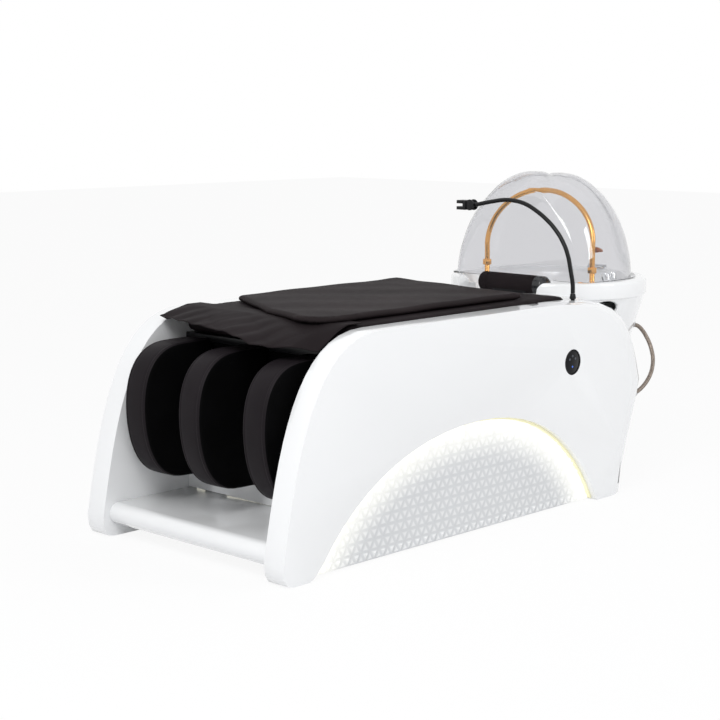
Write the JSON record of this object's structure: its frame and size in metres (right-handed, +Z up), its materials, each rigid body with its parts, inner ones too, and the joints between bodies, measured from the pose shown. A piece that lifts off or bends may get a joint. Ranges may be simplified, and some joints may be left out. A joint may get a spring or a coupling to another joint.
{
  "type": "shampoo backwash bed",
  "caption": "Lie-down salon wash bed: moulded base with lit arches, mattress, calf pads, basin with arched water ring, clear lifting hood and gooseneck clip.",
  "frame": {"origin": "centre of the footprint at floor level", "axes": "+X from the foot end to the basin, +Z up, -Y the side with the touch disc"},
  "size_m": [1.6438, 0.7, 0.8557],
  "materials": {
    "white_shell": "glossy white gelcoat",
    "led": "lit diffuser",
    "board": "raw board",
    "frame": "dark paint",
    "rubber": "matt",
    "case": "grey, satin",
    "upholstery": "dark brown-black cover over foam",
    "steel": "satin",
    "chrome": "polished",
    "gold": "polished gold",
    "clear": "clear acrylic",
    "black_plastic": "satin black",
    "braid": "braided sleeve"
  },
  "bodies": {
    "base": {"side_shell_right": "white_shell", "side_shell_left": "white_shell", "foot_board": "white_shell", "front_bulkhead": "white_shell", "arch_panel_right": "white_shell", "arch_panel_left": "white_shell", "led_strip_right": "led", "led_strip_left": "led", "deck_board": "board", "frame_side_right": "frame", "frame_side_left": "frame", "cross_member_front": "frame", "cross_member_rear": "frame", "glide_foot_front_right": "rubber", "glide_foot_front_left": "rubber", "glide_foot_rear_right": "rubber", "glide_foot_rear_left": "rubber", "equipment_shelf": "board", "air_pump": "case", "water_heater": "case", "mattress": "upholstery", "cover_flap": "upholstery", "top_mat": "upholstery", "calf_pad_right": "upholstery", "calf_pad_middle": "upholstery", "calf_pad_left": "upholstery", "calf_bracket_right": "steel", "calf_bracket_middle": "steel", "calf_bracket_left": "steel", "basin_bowl": "white_shell", "basin_pedestal": "white_shell", "head_apron": "white_shell", "drain_strainer": "chrome", "waste_pipe": "case", "neck_roll": "upholstery", "neck_saddle": "black_plastic", "water_ring": "gold", "ring_collar_right": "gold", "ring_collar_left": "gold", "ring_riser_right": "gold", "ring_riser_left": "gold", "mixer_body": "chrome", "hinge_base": "chrome", "hinge_pin": "steel", "arm_socket": "black_plastic", "disc_bezel": "black_plastic", "disc_face": "black_plastic", "supply_hose": "braid", "hose_fitting_upper": "steel", "hose_fitting_lower": "steel"},
    "hood": {"hood_shell": "clear", "hood_front": "clear", "hinge_leaf": "chrome"},
    "hot_tap": {"hot_knob": "chrome"},
    "cold_tap": {"cold_knob": "chrome"},
    "ring_valve": {"ring_valve_handle": "gold"},
    "arm": {"gooseneck_arm": "black_plastic", "clip_joint": "black_plastic"},
    "clip": {"clip_body": "black_plastic"},
    "jaw": {"clip_jaw": "black_plastic"}
  },
  "joints": [
    {"name": "hood_hinge", "type": "hinge", "parent": "base", "child": "hood", "pos_m": [0.80606, 0, 0.5755], "axis": [0, 1, 0], "range_deg": [0, 80]},
    {"name": "hot_tap_turn", "type": "hinge", "parent": "base", "child": "hot_tap", "pos_m": [0.6762, -0.1202, 0.55], "axis": [0, 0, 1], "range_deg": [0, 90]},
    {"name": "cold_tap_turn", "type": "hinge", "parent": "base", "child": "cold_tap", "pos_m": [0.71792, -0.1098, 0.55], "axis": [0, 0, 1], "range_deg": [0, 90]},
    {"name": "ring_valve_turn", "type": "hinge", "parent": "base", "child": "ring_valve", "pos_m": [0.53206, -0.187, 0.649], "axis": [1, 0, 0], "range_deg": [0, 90]},
    {"name": "arm_swivel", "type": "hinge", "parent": "base", "child": "arm", "pos_m": [0.27606, -0.301, 0.56], "axis": [0, 0, 1], "range_deg": [-5, 110]},
    {"name": "clip_tilt", "type": "hinge", "parent": "arm", "child": "clip", "pos_m": [0.27606, 0.0478, 0.775], "axis": [1, 0, 0], "range_deg": [-30, 30]},
    {"name": "jaw_slide", "type": "slide", "parent": "clip", "child": "jaw", "axis": [0, 0, 1], "range_m": [0, 0.012], "stiffness_N_per_m": 100, "springref_m": -0.01}
  ]
}
